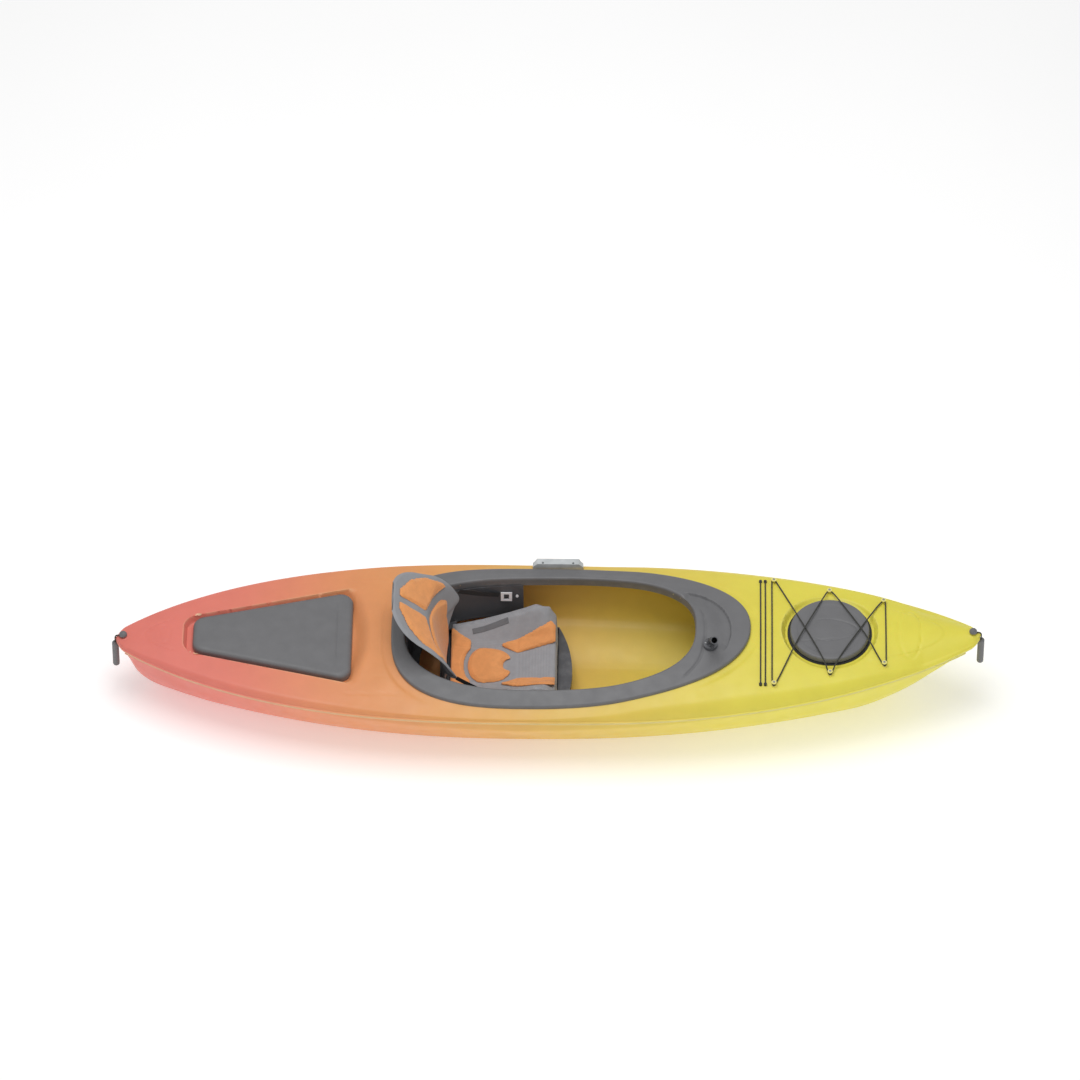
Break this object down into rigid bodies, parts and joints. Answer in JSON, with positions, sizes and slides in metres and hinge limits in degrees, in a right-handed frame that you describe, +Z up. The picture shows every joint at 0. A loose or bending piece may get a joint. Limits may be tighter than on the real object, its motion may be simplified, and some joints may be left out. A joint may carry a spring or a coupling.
{
  "type": "kayak",
  "caption": "Sit-inside recreational kayak with padded seat, hinged backrest, round bow hatch under a bungee, stern compartment lid and carry toggles.",
  "frame": {"origin": "on the ground, under the middle of the length and beam", "axes": "+X towards the bow, +Y to port, +Z up"},
  "size_m": [3.0836, 0.74, 0.488],
  "materials": {
    "black_plastic": "glass-filled nylon",
    "cord": "braided sheath",
    "dark_plastic": "fine-grained moulded plastic",
    "foam": "closed-cell foam",
    "grey_plastic": "fine-grained moulded plastic",
    "hull_yellow": "satin moulded polyethylene, coral at the stern to yellow at the bow",
    "light_plastic": "satin moulded plastic",
    "pad_fabric": "mesh fabric over foam",
    "seal_rubber": "matt",
    "seat_fabric": "woven polyester over foam",
    "steel": "brushed",
    "webbing": "woven webbing",
    "white_plastic": "satin acetal"
  },
  "bodies": {
    "kayak": {"backrest_pin": "steel", "bolster_strips": "webbing", "bow_bulkhead": "foam", "bow_hatch_rim": "grey_plastic", "bow_hatch_seal": "seal_rubber", "bow_toggle_bolt": "grey_plastic", "bow_toggle_cord": "cord", "bungee_knot": "black_plastic", "bungee_posts": "hull_yellow", "centre_pad": "pad_fabric", "cockpit_coaming": "grey_plastic", "cord_grommets": "seal_rubber", "cross_cord_aft": "cord", "cross_cord_fore": "cord", "deck_bungee": "cord", "deck_shell": "hull_yellow", "foot_rail_port": "black_plastic", "foot_rail_starboard": "black_plastic", "hull_shell": "hull_yellow", "paddle_rest": "light_plastic", "post_screws": "steel", "rail_screws_port": "steel", "rail_screws_starboard": "steel", "rail_spacers_port": "black_plastic", "rail_spacers_starboard": "black_plastic", "rear_buckles": "white_plastic", "rear_pad": "pad_fabric", "rear_straps": "webbing", "rest_screws": "steel", "rod_base": "grey_plastic", "rod_base_screws": "steel", "seat_cushion": "seat_fabric", "seat_pan": "dark_plastic", "seat_risers": "foam", "seat_surround": "dark_plastic", "side_buckles": "white_plastic", "side_strap_port": "webbing", "side_strap_starboard": "webbing", "stern_bulkhead": "foam", "stern_seal": "seal_rubber", "stern_toggle_bolt": "grey_plastic", "stern_toggle_cord": "cord", "stern_tub": "grey_plastic", "strap_rivets": "white_plastic", "thigh_pad_port": "pad_fabric", "thigh_pad_starboard": "pad_fabric"},
    "bow_hatch": {"bow_hatch_lid": "grey_plastic"},
    "stern_hatch": {"stern_lid": "grey_plastic"},
    "backrest": {"backrest_shell": "grey_plastic", "upper_pad_port": "pad_fabric", "upper_pad_starboard": "pad_fabric", "lower_pad": "pad_fabric"},
    "bow_toggle": {"bow_toggle_grip": "grey_plastic"},
    "stern_toggle": {"stern_toggle_grip": "grey_plastic"},
    "pedal_port": {"foot_pedal_port": "black_plastic"},
    "pedal_starboard": {"foot_pedal_starboard": "black_plastic"},
    "rod_swivel": {"rod_yoke": "grey_plastic", "rod_pin": "steel"},
    "rod_tube": {"rod_tube": "grey_plastic"}
  },
  "joints": [
    {"name": "bow_hatch_lift", "type": "slide", "parent": "kayak", "child": "bow_hatch", "axis": [0, 0, 1], "range_m": [0, 0.12], "deforming": ["deck_bungee"]},
    {"name": "stern_lid_lift", "type": "slide", "parent": "kayak", "child": "stern_hatch", "axis": [0, 0, 1], "range_m": [0, 0.15]},
    {"name": "backrest_recline", "type": "hinge", "parent": "kayak", "child": "backrest", "pos_m": [-0.372, 0, 0.105], "axis": [0, 1, 0], "range_deg": [-8, 22], "deforming": ["side_strap_port", "side_strap_starboard", "rear_straps"]},
    {"name": "pedal_slide_port", "type": "slide", "parent": "kayak", "child": "pedal_port", "axis": [0.9819, -0.1895, 0], "range_m": [-0.11, 0.11]},
    {"name": "pedal_slide_starboard", "type": "slide", "parent": "kayak", "child": "pedal_starboard", "axis": [0.9819, 0.1895, 0], "range_m": [-0.11, 0.11]},
    {"name": "bow_toggle_swing", "type": "hinge", "parent": "kayak", "child": "bow_toggle", "pos_m": [1.5295, 0, 0.32102], "axis": [0, -1, 0], "range_deg": [0, 100], "deforming": ["bow_toggle_cord"]},
    {"name": "stern_toggle_swing", "type": "hinge", "parent": "kayak", "child": "stern_toggle", "pos_m": [-1.5295, 0, 0.25122], "axis": [0, 1, 0], "range_deg": [0, 100], "deforming": ["stern_toggle_cord"]},
    {"name": "rod_swivel_turn", "type": "hinge", "parent": "kayak", "child": "rod_swivel", "pos_m": [0.574, -0.09, 0.35655], "axis": [0, 0, 1], "continuous": true},
    {"name": "rod_tilt", "type": "hinge", "parent": "rod_swivel", "child": "rod_tube", "pos_m": [0.574, -0.09, 0.37455], "axis": [0.9848, 0.1736, 0], "range_deg": [-42, 38]}
  ]
}
